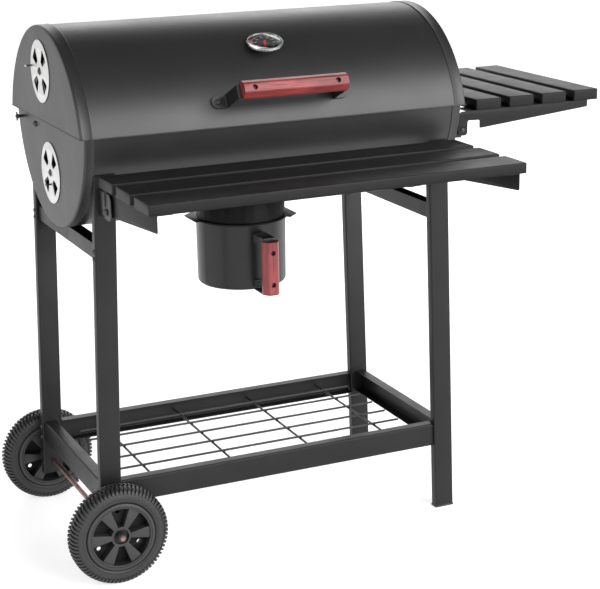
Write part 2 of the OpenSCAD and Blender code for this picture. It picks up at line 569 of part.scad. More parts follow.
legs_left();
legs_right();
foot_caps();
upper_cross_bars();
rack_long_rails();
rack_side_rails();
wire_rack();
frame_bolts();
axle();
axle_caps();
axle_washers();
bowl_shell();
bowl_end_left();
bowl_end_right();
ash_collar();
charcoal_grate();
grate_ledges();
shelf_hangers();
hanger_bolts();
side_mounts();
bowl_hinge_leaves();
hinge_pins();
bowl_vent_rivet();
wing_bolts();
lid_shell();
lid_end_left();
lid_end_right();
lid_hinge_leaves();
lid_handle_strap();
lid_grip();
lid_handle_screws();
lid_vent_rivet();
thermo_case();
thermo_dial();
thermo_glass();
thermo_stem();
thermo_needle();
lid_vent_disc();
bowl_vent_disc();
wheel_front();
tyre_front();
wheel_back();
tyre_back();
front_shelf_slats();
front_shelf_brackets();
front_shelf_pins();
side_shelf_slats();
side_shelf_brackets();
side_shelf_pins();
ash_pot();
pot_strap();
pot_grip();
pot_screws();
grate_left();
grate_right();
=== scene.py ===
"""Barrel charcoal grill on a trolley: the looks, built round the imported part. Shapes are written in
millimetres from the front left leg (x along the barrel, y to the back, z up) and placed by TO_ROW."""
from math import asin, cos, pi, radians, sin, sqrt

import bmesh
import bpy
from mathutils import Matrix, Vector


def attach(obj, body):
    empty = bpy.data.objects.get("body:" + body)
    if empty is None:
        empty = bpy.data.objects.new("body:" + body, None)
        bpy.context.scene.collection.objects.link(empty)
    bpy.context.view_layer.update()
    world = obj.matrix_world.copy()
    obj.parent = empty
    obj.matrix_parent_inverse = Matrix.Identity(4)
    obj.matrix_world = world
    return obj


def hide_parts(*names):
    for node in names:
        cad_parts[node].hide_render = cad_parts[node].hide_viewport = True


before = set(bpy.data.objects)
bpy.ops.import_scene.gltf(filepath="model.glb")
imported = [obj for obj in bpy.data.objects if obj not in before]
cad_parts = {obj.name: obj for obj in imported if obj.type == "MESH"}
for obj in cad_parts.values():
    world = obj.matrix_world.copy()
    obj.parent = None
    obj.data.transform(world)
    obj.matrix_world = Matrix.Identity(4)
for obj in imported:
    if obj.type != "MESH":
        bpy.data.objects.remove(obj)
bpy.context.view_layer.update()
scene = bpy.context.scene

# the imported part, in millimetres
ROW_ORIGIN = (503.5, 90, -4)              # the row's origin, seen from the front left leg
LEG_W, LEG_D, LEG_WALL, LEG_TOP = 42, 19, 1.5, 790
PITCH_X, PITCH_Y = 700, 394               # from leg to leg
BACK = PITCH_Y + LEG_D                    # back face of the back legs
SPLAY, SPLAY_Z = 0.028, 800               # sideways lean of the legs, and the height where it is zero
XC, YC = 372.0, 207.0                     # middle of the barrel
PX = XC + 2                               # middle of the ash pot
LID_R, LID_Z, BOWL_R, BOWL_Z = 238.0, 809.0, 225.0, 882.0
SEAM, SHEET = 862.0, 1.2

MM = 0.001
TO_ROW = Matrix.Scale(MM, 4) @ Matrix.Translation([-v for v in ROW_ORIGIN])
I4 = Matrix.Identity(4)
ALONG_X = Matrix(((0, 0, 1, 0), (1, 0, 0, 0), (0, 1, 0, 0), (0, 0, 0, 1)))   # (u, v, t) -> (t, u, v)
ALONG_Y = Matrix(((1, 0, 0, 0), (0, 0, 1, 0), (0, 1, 0, 0), (0, 0, 0, 1)))   # (u, v, t) -> (u, t, v)


def at(x, y, z):
    return Matrix.Translation((x, y, z))


def turn(deg, axis):
    return Matrix.Rotation(radians(deg), 4, axis)


# ------------------------------------------------------------------ shape tools
def fillet(pts, r, n=5, closed=True):
    """A polyline with its corners rounded. r is one radius or one per point."""
    rr = list(r) if hasattr(r, "__len__") else [r] * len(pts)
    out = []
    for i, p in enumerate(pts):
        if rr[i] <= 0 or (not closed and i in (0, len(pts) - 1)):
            out.append(tuple(p))
            continue
        p0, p1, p2 = Vector(pts[i - 1]), Vector(p), Vector(pts[(i + 1) % len(pts)])
        a, b = (p0 - p1).normalized(), (p2 - p1).normalized()
        half = a.angle(b) / 2
        if half > pi / 2 - 1e-3:
            out.append(tuple(p))
            continue
        most = 0.499                           # of each side, so that neighbouring roundings don't meet
        d = min(rr[i] / max(1e-6, abs(sin(half) / cos(half))),
                (p0 - p1).length * most, (p2 - p1).length * most)
        rad = d * sin(half) / cos(half)
        c = p1 + (a + b).normalized() * (rad / sin(half))
        s, e = p1 + a * d - c, p1 + b * d - c
        ang = s.angle(e)
        for k in range(n + 1):
            t = k / n
            v = (s * sin((1 - t) * ang) + e * sin(t * ang)) / sin(ang)
            out.append(tuple(c + v))
    return out


def lathe(bm, prof, M=I4, n=96, closed=False):
    """Turns (r, h) points about local Z."""
    rings = []
    for r, h in prof:
        turns = [2 * pi * k / n for k in (range(1) if r < 1e-6 else range(n))]
        rings.append([bm.verts.new(M @ Vector((r * cos(a), r * sin(a), h))) for a in turns])
    for a, b in list(zip(rings, rings[1:])) + ([(rings[-1], rings[0])] if closed else []):
        for k in range(n):
            q = []
            for v in (a[k % len(a)], a[(k + 1) % len(a)], b[(k + 1) % len(b)], b[k % len(b)]):
                if v not in q:
                    q.append(v)
            if len(q) > 2:
                bm.faces.new(q)


def prism(bm, pts, t0, t1, M=I4, edge=0.0, seg=2, shear=None):
    """An outline (u, v) drawn out along local Z from t0 to t1, with its end edges rounded."""
    rows = []
    for t in (t0, t1):
        du, dv = shear(t) if shear else (0, 0)
        rows.append([bm.verts.new(M @ Vector((u + du, v + dv, t))) for u, v in pts])
    n = len(pts)
    lo, hi = bm.faces.new(rows[0]), bm.faces.new(rows[1])
    for k in range(n):
        bm.faces.new((rows[0][k], rows[0][(k + 1) % n], rows[1][(k + 1) % n], rows[1][k]))
    if edge:
        bmesh.ops.bevel(bm, geom=list(lo.edges) + list(hi.edges), offset=edge, segments=seg, profile=0.5,
                        affect="EDGES", clamp_overlap=True)


def block(bm, a, b, M=I4, edge=0.0, seg=2):
    """Box from corner a to corner b."""
    vs = bmesh.ops.create_cube(bm, size=1.0)["verts"]
    for v in vs:
        v.co = M @ Vector([a[i] + (v.co[i] + 0.5) * (b[i] - a[i]) for i in range(3)])
    if edge:
        es = dict.fromkeys(e for v in vs for e in v.link_edges)      # each once, in a fixed order
        bmesh.ops.bevel(bm, geom=list(es), offset=edge, segments=seg, profile=0.5, affect="EDGES",
                        clamp_overlap=True)


def strap(bm, path, width, t, M=I4, round_ends=False):
    """Flat bar bent along a path in the local XY plane, its width along local Z."""
    chamfer, stations, least = 0.45, 12, 0.6
    pts = [Vector(p) for p in path]
    lens = [0.0]
    for a, b in zip(pts, pts[1:]):
        lens.append(lens[-1] + (b - a).length)
    if round_ends:        # more stations near the ends, where the bar rounds off
        extra = []
        for k in range(stations + 1):
            s = width / 2 * (1 - cos(pi / 2 * k / stations))
            extra += [s, lens[-1] - s]
        for s in extra:
            for i in range(len(lens) - 1):
                if lens[i] + 1e-4 < s < lens[i + 1] - 1e-4:
                    f = (s - lens[i]) / (lens[i + 1] - lens[i])
                    pts.insert(i + 1, pts[i].lerp(pts[i + 1], f))
                    lens.insert(i + 1, s)
                    break
    rows = []
    for i, p in enumerate(pts):
        d = (pts[min(i + 1, len(pts) - 1)] - pts[max(i - 1, 0)]).normalized()
        if 0 < i < len(pts) - 1:
            half = (pts[i + 1] - p).angle(p - pts[i - 1]) / 2
        else:
            half = 0
        nrm = Vector((-d.y, d.x)) / cos(half)
        w = width / 2
        if round_ends:
            s = min(lens[i], lens[-1] - lens[i])
            if s < w:
                w = max(least, sqrt(max(0.0, w * w - (w - s) ** 2)))
        cc = min(chamfer, w * 0.4)
        sec = [(-t / 2, -w + cc), (-t / 2 + cc, -w), (t / 2 - cc, -w), (t / 2, -w + cc),
               (t / 2, w - cc), (t / 2 - cc, w), (-t / 2 + cc, w), (-t / 2, w - cc)]
        rows.append([bm.verts.new(M @ Vector((p.x + nrm.x * a, p.y + nrm.y * a, b))) for a, b in sec])
    for a, b in zip(rows, rows[1:]):
        for k in range(8):
            bm.faces.new((a[k], a[(k + 1) % 8], b[(k + 1) % 8], b[k]))
    bm.faces.new(rows[0])
    bm.faces.new(rows[-1])


def rod(bm, a, b, r, n=14):
    """Round bar from a to b with rounded ends."""
    a, b = Vector(a), Vector(b)
    M = Matrix.Translation(a) @ (b - a).to_track_quat("Z", "Y").to_matrix().to_4x4()
    L = (b - a).length
    cap = [(r * sin(t), r * 0.6 * (1 - cos(t))) for t in (0, 0.5, 1.0, 1.3, pi / 2)]
    lathe(bm, cap + [(x, L - h) for x, h in reversed(cap)], M, n)


def blob(bm, p, r):
    """Small ball."""
    lathe(bm, [(r * sin(pi * k / 8), -r * cos(pi * k / 8)) for k in range(9)], at(*p), 12)


def plate(bm, outline, holes, t0, t1, M=I4, edge=0.3):
    """Flat sheet with holes and softly rounded cut edges, drawn in the local XY plane."""
    cu = bpy.data.curves.new("tmp", "CURVE")
    cu.dimensions, cu.fill_mode = "2D", "BOTH"
    cu.extrude, cu.bevel_depth, cu.bevel_resolution = (t1 - t0) / 2 - edge, edge, 1
    cu.offset = -edge
    for loop in [outline] + list(holes):
        sp = cu.splines.new("POLY")
        sp.points.add(len(loop) - 1)
        for q, (u, v) in zip(sp.points, loop):
            q.co = (u, v, 0, 1)
        sp.use_cyclic_u = True
    ob = bpy.data.objects.new("tmp", cu)
    scene.collection.objects.link(ob)
    me = bpy.data.meshes.new_from_object(ob.evaluated_get(bpy.context.evaluated_depsgraph_get()))
    other = bmesh.new()
    other.from_mesh(me)
    bmesh.ops.remove_doubles(other, verts=other.verts, dist=1e-4)
    other.transform(M @ at(0, 0, (t0 + t1) / 2))
    other.to_mesh(me)
    other.free()
    bm.from_mesh(me)
    bpy.data.objects.remove(ob)
    bpy.data.curves.remove(cu)
    bpy.data.meshes.remove(me)


def circle(r, n, c=(0, 0)):
    return [(c[0] + r * cos(2 * pi * k / n), c[1] + r * sin(2 * pi * k / n)) for k in range(n)]


def carve(bm, cutters):
    """Cuts the closed shapes in one bmesh out of another and returns the result."""
    obs = []
    for b in (bm, cutters):
        bmesh.ops.recalc_face_normals(b, faces=b.faces)
        me = bpy.data.meshes.new("tmp")
        b.to_mesh(me)
        b.free()
        ob = bpy.data.objects.new("tmp", me)
        scene.collection.objects.link(ob)
        obs.append(ob)
    mod = obs[0].modifiers.new("cut", "BOOLEAN")
    mod.operation, mod.solver, mod.object = "DIFFERENCE", "EXACT", obs[1]
    mod.use_self = True
    me = bpy.data.meshes.new_from_object(obs[0].evaluated_get(bpy.context.evaluated_depsgraph_get()))
    out = bmesh.new()
    out.from_mesh(me)
    for ob in obs:
        old = ob.data
        bpy.data.objects.remove(ob)
        bpy.data.meshes.remove(old)
    bpy.data.meshes.remove(me)
    return out


SHARP = radians(35)


def piece(name, bm, body, material, *nodes, slot=None):
    """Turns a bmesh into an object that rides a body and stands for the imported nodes."""
    bmesh.ops.recalc_face_normals(bm, faces=bm.faces)
    bm.transform(TO_ROW)
    me = bpy.data.meshes.new(name)
    bm.to_mesh(me)
    bm.free()
    me.shade_smooth()
    me.set_sharp_from_angle(angle=SHARP)
    me.materials.append(material)
    ob = bpy.data.objects.new(name, me)
    scene.collection.objects.link(ob)
    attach(ob, body)
    if nodes:
        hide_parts(*nodes)
    return ob


def keep(names, material, bevel=0.0):
    """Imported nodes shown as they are, with softened edges where a bevel in metres is given."""
    for n in names.split():
        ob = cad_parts[n]
        if not ob.material_slots:
            ob.data.materials.append(material)
        for s in ob.material_slots:
            s.material = material
        ob.data.shade_smooth()
        w = ob.modifiers.new("weld", "WELD")
        w.merge_threshold = 2e-6
        if bevel:
            d = ob.modifiers.new("flat", "DECIMATE")
            d.decimate_type, d.angle_limit = "DISSOLVE", radians(0.5)
            b = ob.modifiers.new("soft", "BEVEL")
            b.width, b.segments, b.limit_method, b.angle_limit = bevel, 2, "ANGLE", radians(40)
            b.harden_normals = True
        else:
            e = ob.modifiers.new("sharp", "EDGE_SPLIT")
            e.split_angle = SHARP


# ------------------------------------------------------------------ materials
class Mat:
    """A Principled material whose patterns follow the object's own coordinates."""
    def __init__(self, name, **sockets):
        self.m = bpy.data.materials.new(name)
        self.m.use_nodes = True
        self.t = self.m.node_tree
        self.p = self.t.nodes["Principled BSDF"]
        for k, v in sockets.items():
            self.p.inputs[k.replace("_", " ")].default_value = v
        self.co = self.t.nodes.new("ShaderNodeTexCoord").outputs["Object"]

    def node(self, kind, **links):
        n = self.t.nodes.new(kind)
        for k, v in links.items():
            k = k.replace("_", " ")
            if isinstance(v, bpy.types.NodeSocket):
                self.t.links.new(v, n.inputs[k])
            elif k in n.inputs:
                n.inputs[k].default_value = v
        return n

    def noise(self, scale, detail=3.0, rough=0.55, stretch=None, distortion=0.0):
        co = self.co
        if stretch:
            co = self.node("ShaderNodeMapping", Vector=co, Scale=stretch).outputs[0]
        return self.node("ShaderNodeTexNoise", Vector=co, Scale=scale, Detail=detail, Roughness=rough,
                         Distortion=distortion).outputs[0]

    def ramp(self, fac, *stops):
        """stops are (position, grey or colour)."""
        r = self.node("ShaderNodeValToRGB")
        self.t.links.new(fac, r.inputs[0])
        e = r.color_ramp.elements
        for i, (pos, col) in enumerate(stops):
            el = e[i] if i < 2 else e.new(pos)
            el.position = pos
            el.color = (col, col, col, 1) if isinstance(col, (int, float)) else (*col, 1)
        return r.outputs[0]

    def to(self, socket, out):
        self.t.links.new(out, self.p.inputs[socket])

    def bump(self, *layers):
        """layers are (height, strength, distance)."""
        last = None
        for h, s, d in layers:
            b = self.node("ShaderNodeBump", Height=h, Strength=s, Distance=d)
            if last:
                self.t.links.new(last, b.inputs["Normal"])
            last = b.outputs[0]
        self.to("Normal", last)


def paint(name, dark, light, rough, spread=0.07, peel=(700, 0.12, 0.0004), spec=0.5, blotch=6.0):
    """Sprayed or powder-coated black: faint orange peel, uneven sheen and slightly uneven colour."""
    m = Mat(name, Specular_IOR_Level=spec)
    m.to("Base Color", m.ramp(m.noise(blotch, 5, 0.6), (0.3, dark), (0.7, light)))
    m.to("Roughness", m.ramp(m.noise(blotch * 2.7, 6, 0.65), (0.3, rough - spread), (0.72, rough + spread)))
    m.bump((m.noise(peel[0], 2, 0.5), peel[1], peel[2]), (m.noise(45, 3, 0.5), 0.05, 0.002))
    return m.m


def metal(name, colour, rough, stretch=None, scratch=0.1, tint=0.85, scale=60):
    """Bare or plated metal: mottled tone, uneven sheen and fine scratches."""
    m = Mat(name, Metallic=1.0)
    m.to("Base Color", m.ramp(m.noise(scale, 5, 0.6), (0.3, [c * tint for c in colour]), (0.7, colour)))
    m.to("Roughness", m.ramp(m.noise(scale * 1.7, 5, 0.6, stretch), (0.3, rough * 0.75), (0.75, rough * 1.3)))
    m.bump((m.noise(900, 2, 0.5, stretch), scratch, 0.0002))
    return m.m


def wood(name, along):
    """Stained, varnished hardwood with its grain along one axis."""
    m = Mat(name, Specular_IOR_Level=0.4, Coat_Weight=0.22, Coat_Roughness=0.3)
    st = [1.0, 1.0, 1.0]
    st[along] = 0.07
    fine = [1.0, 1.0, 1.0]
    fine[along] = 0.03
    grain = m.noise(120, 6, 0.62, st, 1.2)
    pores = m.noise(900, 3, 0.6, fine, 0.2)
    broad = m.noise(14, 3, 0.5, [1 if i != along else 0.6 for i in range(3)], 0.6)
    a = m.ramp(grain, (0.26, (0.13, 0.012, 0.012)), (0.5, (0.28, 0.032, 0.032)), (0.78, (0.40, 0.068, 0.064)))
    b = m.ramp(pores, (0.36, 0.45), (0.52, 1.0))
    c = m.ramp(broad, (0.3, 0.68), (0.72, 1.0))
    for k in (b, c):
        mx = m.node("ShaderNodeMix")
        mx.data_type, mx.blend_type = "RGBA", "MULTIPLY"
        mx.inputs[0].default_value = 1.0
        m.t.links.new(a, mx.inputs[6])
        m.t.links.new(k, mx.inputs[7])
        a = mx.outputs[2]
    m.to("Base Color", a)
    m.to("Roughness", m.ramp(grain, (0.3, 0.5), (0.7, 0.36)))
    m.bump((grain, 0.25, 0.0006), (pores, 0.3, 0.0003))
    return m.m


def clear(name):
    """Glass with a few faintly greasy patches."""
    m = Mat(name, Transmission_Weight=1.0, IOR=1.3, Base_Color=(0.97, 0.98, 0.98, 1))
    m.to("Roughness", m.ramp(m.noise(70, 5, 0.7), (0.45, 0.01), (0.8, 0.10)))
    m.bump((m.noise(400, 2, 0.5), 0.03, 0.0002))
    return m.m


M = {
    "frame": paint("frame_black", (0.0075, 0.0075, 0.008), (0.0125, 0.0125, 0.0135), 0.42, 0.06,
                   (520, 0.14, 0.0004), spec=0.26),
    "wire": paint("wire_black", (0.012, 0.012, 0.013), (0.025, 0.025, 0.027), 0.45, 0.08, (900, 0.2, 0.0003)),
    "barrel": paint("barrel_black", (0.012, 0.0117, 0.0115), (0.017, 0.0166, 0.0166), 0.42, 0.035,
                    (800, 0.10, 0.0003), blotch=3.0),
    "pot": paint("pot_black", (0.0055, 0.0055, 0.0057), (0.009, 0.009, 0.0093), 0.31, 0.04,
                 (800, 0.1, 0.0003), spec=0.38),
    "collar": paint("collar_black", (0.0038, 0.0038, 0.004), (0.0065, 0.0065, 0.0068), 0.46, 0.05,
                    (800, 0.12, 0.0003), spec=0.16),
    "strap": paint("strap_black", (0.008, 0.008, 0.0083), (0.014, 0.014, 0.0145), 0.38, 0.07,
                   (600, 0.12, 0.0003), spec=0.45),
    "shelf": paint("shelf_black", (0.0070, 0.0068, 0.0066), (0.0115, 0.0112, 0.0110), 0.50, 0.05,
                   (480, 0.22, 0.0005), spec=0.22),
    "dark": paint("hardware_black", (0.012, 0.012, 0.012), (0.03, 0.03, 0.031), 0.36, 0.1,
                  (1200, 0.15, 0.0002)),
    "iron": paint("grate_iron", (0.02, 0.019, 0.018), (0.05, 0.048, 0.046), 0.6, 0.12, (420, 0.4, 0.0006)),
    "wheel": paint("wheel_plastic", (0.020, 0.020, 0.0205), (0.030, 0.030, 0.031), 0.42, 0.06,
                   (380, 0.18, 0.0004)),
    # darker copy of the wheel plastic for the web: painted shade for the deep pocket between the spokes
    "web": paint("wheel_web_plastic_painted_shade", (0.006, 0.006, 0.006), (0.011, 0.011, 0.011), 0.6, 0.08,
                 (300, 0.3, 0.0005), spec=0.2),
    "tyre": paint("tyre_black", (0.016, 0.016, 0.0163), (0.030, 0.030, 0.0305), 0.47, 0.08,
                  (300, 0.3, 0.0006), spec=0.42),
    "foot": paint("foot_plastic", (0.016, 0.016, 0.017), (0.028, 0.028, 0.03), 0.5, 0.06, (420, 0.2, 0.0004)),
    "dial": paint("dial_face", (0.008, 0.008, 0.008), (0.013, 0.013, 0.013), 0.45, 0.05, (900, 0.1, 0.0002)),
    "zinc": metal("zinc_plate", (0.62, 0.62, 0.63), 0.32, scratch=0.12),
    "vent": metal("vent_plate", (0.70, 0.70, 0.695), 0.42, (1, 1, 0.1), 0.08, 0.93, 40),
    "chrome": metal("bezel_chrome", (0.60, 0.60, 0.61), 0.27, scratch=0.04),
    "grate": metal("grate_chrome", (0.7, 0.7, 0.71), 0.22, scratch=0.12),
    "axle": metal("axle_steel", (0.40, 0.27, 0.235), 0.42, (1, 0.2, 1), 0.25, 0.55, 90),
    "lidwood": wood("red_wood_x", 0),
    "potwood": wood("red_wood_z", 2),
    "needle": paint("needle_red", (0.55, 0.012, 0.01), (0.72, 0.03, 0.02), 0.35, 0.05, (900, 0.1, 0.0002)),
    "white": paint("dial_white", (0.6, 0.6, 0.58), (0.75, 0.75, 0.72), 0.5, 0.05, (900, 0.1, 0.0002)),
    "green": paint("dial_green", (0.03, 0.16, 0.05), (0.05, 0.22, 0.07), 0.5, 0.05, (900, 0.1, 0.0002)),
    "glass": clear("dial_glass"),
}


# ------------------------------------------------------------------ barrel
LID_X, BOWL_X = (-29.0, 769.5), (-19.0, 763.0)   # outer faces of the end plates
LID_FLANGE, BOWL_FLANGE = 25.0, 20.0
BOWL_LIP = 3                              # the bowl rises this far inside the lid
FACE, RIM = 1.5, 5.0                      # thickness of an end plate, radius of its pressed rim
VENT_R, VENT_BOLT_R = 60, 3.05
VENT_Y, VENT_Z = 212.0, {"lid": 959.0, "bowl": 761.0}
ASH_HOLE_R = 80


def shell(x0, x1, r, cz, cut, up):
    """Rolled sheet over an arc that ends at the level cut. The lid's has rolled hems."""
    s = 1 if up else -1
    n = 96
    inner = r - SHEET
    a0 = asin(s * (cut - cz) / r)
    turns = [a0 + (pi - 2 * a0) * k / n for k in range(n + 1)]
    out = [(r * cos(a), s * r * sin(a)) for a in turns]
    inn = [(u * (inner / r), v * (inner / r)) for u, v in out]
    q = asin(s * (cut - cz) / inner)
    inn[0] = (inner * cos(q), s * inner * sin(q))
    inn[-1] = (-inner * cos(q), s * inner * sin(q))
    bm = bmesh.new()
    prism(bm, [(YC + u, cz + v) for u, v in out + inn[::-1]], x0, x1, ALONG_X)
    if up:
        z = cut + 1.25
        for side in (-1, 1):
            y = YC + side * sqrt((r + 0.35) ** 2 - (z - cz) ** 2)
            rod(bm, (x0 + 0.5, y, z), (x1 - 0.5, y, z), 0.85, 10)
    return bm


def end_cap(x0, s, r, cz, cut, up, wide):
    """Pressed end plate: flat face, rounded rim and a flange that wraps the shell. s points inward."""
    sg = 1 if up else -1
    quarter = [pi / 2 * k / 6 for k in range(7)]
    # each point is (distance inward from the face, radius)
    prof = [(RIM * (1 - cos(a)), r - RIM + RIM * sin(a)) for a in quarter]
    for k in (5, 6):                           # the flange sits a little below its rolled edge
        prof[k] = (prof[k][0], prof[k][1] - 0.25 * (k - 4))
    prof += [(wide - d, r - drop)
             for d, drop in ((3.4, 0.5), (2.6, 0.1), (1.9, 0), (0.9, 0), (0.2, 0.3), (0, 0.8))]
    prof += [(wide, r - SHEET + 0.05), (wide - 0.3, r - SHEET), (wide * 0.5, r - SHEET)]
    prof += [(FACE + (RIM - FACE) * (1 - cos(a)), r - RIM + (RIM - SHEET) * sin(a))
             for a in reversed(quarter)]
    n = 88
    bm = bmesh.new()

    def ring(d, rad, squeeze=1.0):
        a0 = asin(sg * (cut - cz) / rad)
        row = []
        for k in range(n + 1):
            a = a0 + (pi - 2 * a0) * k / n
            z = sg * rad * sin(a)
            z = (cut - cz) + (z - (cut - cz)) * squeeze
            row.append(bm.verts.new((x0 + s * d, YC + rad * cos(a), cz + z)))
        return row

    fan = (0.0, 0.35, 0.7, 0.93)               # rows that fill the flat face, from the cut upward
    rows = [ring(0, r - RIM, q) for q in fan] + [ring(d, rad) for d, rad in prof]
    rows += [ring(FACE, r - RIM, q) for q in reversed(fan)]
    for a, b in zip(rows, rows[1:]):
        for k in range(n):
            bm.faces.new((a[k], a[k + 1], b[k + 1], b[k]))
    bmesh.ops.remove_doubles(bm, verts=bm.verts, dist=1e-3)
    bmesh.ops.holes_fill(bm, edges=[e for e in bm.edges if e.is_boundary], sides=0)
    return bm


def wedges(ri, ro, half_angle, spin=0.0, r=2.0):
    """Four vent openings between two radii, as loops round the origin."""
    w = radians(half_angle)
    corners = [(ri * cos(w), ri * sin(w)), (ro * cos(w), ro * sin(w)),
               (ro * cos(w), -ro * sin(w)), (ri * cos(w), -ri * sin(w))]
    loops = []
    for a in (45, 135, 225, 315):
        c, s = cos(radians(a + spin)), sin(radians(a + spin))
        loops.append(fillet([(c * u - s * v, s * u + c * v) for u, v in corners], r, 4))
    return loops


def vent(what, body, x, pin_at):
    """Turning disc, its pin and knob, and the bolt through its middle."""
    Mv = at(x, VENT_Y, VENT_Z[what]) @ ALONG_X
    bm = bmesh.new()
    holes = wedges(22, 49.5, 18, 0, 2.5) + [circle(VENT_BOLT_R, 24)]
    plate(bm, circle(VENT_R, 128), holes, -1.7, -0.5, Mv, 0.3)
    lathe(bm, [(54.6, -1.65), (55.2, -2.0), (56.2, -2.0), (56.8, -1.65)], Mv, 128)
    piece(what + "_vent", bm, what + "_vent", M["vent"], what + "_vent_disc")
    Mp = Mv @ at(*pin_at, 0) @ turn(180, "X")
    bm = bmesh.new()
    pin = [(0, 12.2), (1.6, 12.2), (1.6, 2.6), (2.6, 1.75), (0, 1.75)]
    lathe(bm, fillet(pin, [0, 0, 0.4, 0, 0], 4), Mp, 20)
    piece(what + "_vent_pin", bm, what + "_vent", M["dark"], slot="vent_metal")
    bm = bmesh.new()
    lathe(bm, fillet([(0, 15), (2.4, 15), (2.4, 12.1), (0, 12.1)], [0, 1, 0.8, 0], 4), Mp, 20)
    piece(what + "_vent_knob", bm, what + "_vent", M["vent"], slot="vent_metal")
    bm = bmesh.new()
    domed = [(0, 3.2), (2.1, 3.2), (2.4, 4.9), (5.0, 4.2), (7.9, 2.2), (7.9, 1.9), (3.0, 1.9), (3.0, -3),
             (0, -3)]
    lathe(bm, fillet(domed, [0, 0.3, 0.5, 3, 0.5, 0.2, 0, 0, 0], 4), Mv @ turn(180, "X"), 40)
    lathe(bm, [(0, 1.6), (5.8, 1.6), (6, 1.8), (6, 3.3), (5.6, 3.5), (0, 3.5)], Mv, 6)
    piece(what + "_vent_bolt", bm, body, M["dark"], what + "_vent_rivet")


def half_barrel(what, body, r, cz, xs, up, flange, spin, pin_at):
    """Shell, two end plates and the vent of the lid or of the bowl."""
    cut = SEAM if up else SEAM + BOWL_LIP
    bm = shell(xs[0] + FACE, xs[1] - FACE, r - SHEET, cz, cut, up)
    if not up:
        hole = bmesh.new()
        prism(hole, circle(ASH_HOLE_R, 72, (PX, YC)), 600, 700)
        bm = carve(bm, hole)
    piece(what + "_sheet", bm, body, M["barrel"], what + "_shell")
    for side, x0, s in (("left", xs[0], 1), ("right", xs[1], -1)):
        bm = end_cap(x0, s, r, cz, cut, up, flange)
        if side == "left":
            cutter = bmesh.new()
            Mv = at(x0, VENT_Y, VENT_Z[what]) @ ALONG_X
            for loop in wedges(23, 48, 16, spin) + [circle(3.2, 20)]:
                prism(cutter, loop, -3, 4, Mv)
            bm = carve(bm, cutter)
        if up:                                 # hem along the lower edge of the end plate
            half = sqrt((r - 4) ** 2 - (cut - cz) ** 2)
            x = x0 - s * 0.1
            rod(bm, (x, YC - half, cut + 1.0), (x, YC + half, cut + 1.0), 0.9, 10)
        piece("%s_cap_%s" % (what, side), bm, body, M["barrel"], "%s_end_%s" % (what, side))
    vent(what, body, xs[0], pin_at)


half_barrel("lid", "lid", LID_R, LID_Z, LID_X, True, LID_FLANGE, -10, (54, 5))
half_barrel("bowl", "trolley", BOWL_R, BOWL_Z, BOWL_X, False, BOWL_FLANGE, -3, (0, -23))

# stop bolt and wing bolt on the left end of the bowl
bm = bmesh.new()
Mb = at(BOWL_X[0], 303, 843) @ turn(-90, "Y")
lathe(bm, fillet([(0, 3.0), (1.8, 3.0), (2.0, 4.9), (4.2, 4.0), (6.4, 1.2), (6.4, 0)],
                 [0, 0.2, 0.4, 3, 1, 0], 4), Mb, 32)
Mb = at(BOWL_X[0], 390, 846) @ turn(-90, "Y")
lathe(bm, [(0, 16.4), (2.6, 16.4), (3, 16), (3, 0)], Mb, 20)
lathe(bm, fillet([(3, 15.4), (4.2, 15.4), (5, 11), (5, 10), (3, 10)], [0, 0.6, 0.5, 0.4, 0], 3), Mb, 28)
for s in (-1, 1):
    wing = fillet([(s * 3.5, 12), (s * 9.4, 12.6), (s * 9.4, 15), (s * 3.5, 15)], [0, 1.1, 1.1, 0], 4)
    prism(bm, wing, -1.3, 1.3, Mb @ turn(90, "X") @ Matrix.Diagonal((1, 1, -1, 1)), 0.5)
piece("end_bolts", bm, "trolley", M["dark"], "wing_bolts")


# ------------------------------------------------------------------ lid handle
HANDLE_TH = 24.6                          # place of the handle round the lid, in degrees above level
GRIP_FRONT, STRAP_FRONT, STRAP_FOOT = 326, 304.2, 239.5     # distances from the middle of the lid
ARM_X, FOOT_X, TOE_X = 110.5, 128, 141    # half spacing of the strap's arms, foot screws and foot ends
GRIP_SCREW_X = 84.5
STRAP_BENDS = [0, 4, 2.2, 2.2, 4, 0]
SCREW_SINK = 8.9                          # depth of a grip screw's head below the front of the wood
M_LID = at(0, YC, LID_Z) @ turn(-HANDLE_TH, "X")
M_GRIP = M_LID @ at(XC, -GRIP_FRONT, 0)


def grip(half_l, half_w, deep, hole_at, M):
    """Wooden bar, broadly rounded in front: length along local X, width along Z, depth along Y from 0."""
    k = half_w / 17
    sec = fillet([(deep, -17 * k), (deep, 17 * k), (12.5, 17 * k), (1.5, 10 * k),
                  (0, 7.0 * k), (0, -7.0 * k), (1.5, -10 * k), (12.5, -17 * k)], [1, 1, 5, 5, 4, 4, 5, 5], 6)
    bm = bmesh.new()
    prism(bm, sec, -half_l, half_l, M @ ALONG_X, 2.6, 4)
    cutter = bmesh.new()
    for x in hole_at:
        Mh = M @ at(x, 0, 0) @ turn(-90, "X")
        lathe(cutter, [(0, -1), (5.4, -1), (5.0, 0.4), (5.0, 9), (0, 9)], Mh, 32)
        lathe(cutter, [(0, 8), (2.6, 8), (2.6, deep + 1), (0, deep + 1)], Mh, 20)
    return carve(bm, cutter)


def screw(bm, M, r, h):
    """Pan head with a round drive recess, standing on local Z = 0."""
    lathe(bm, fillet([(0, h - 1.1), (r * 0.36, h - 1.1), (r * 0.42, h), (r * 0.72, h * 0.86), (r, h * 0.35),
                      (r, 0)], [0, 0.2, 0.3, 1.5, 0.6, 0], 4), M, 28)


def grip_screw(bm, M, x, length):
    """Sunk screw of a grip, with its shaft."""
    screw(bm, M @ at(x, SCREW_SINK, 0) @ turn(90, "X"), 4.5, 3.2)
    lathe(bm, [(2.4, 0), (2.4, length)], M @ at(x, SCREW_SINK - 0.1, 0) @ turn(-90, "X"), 16)


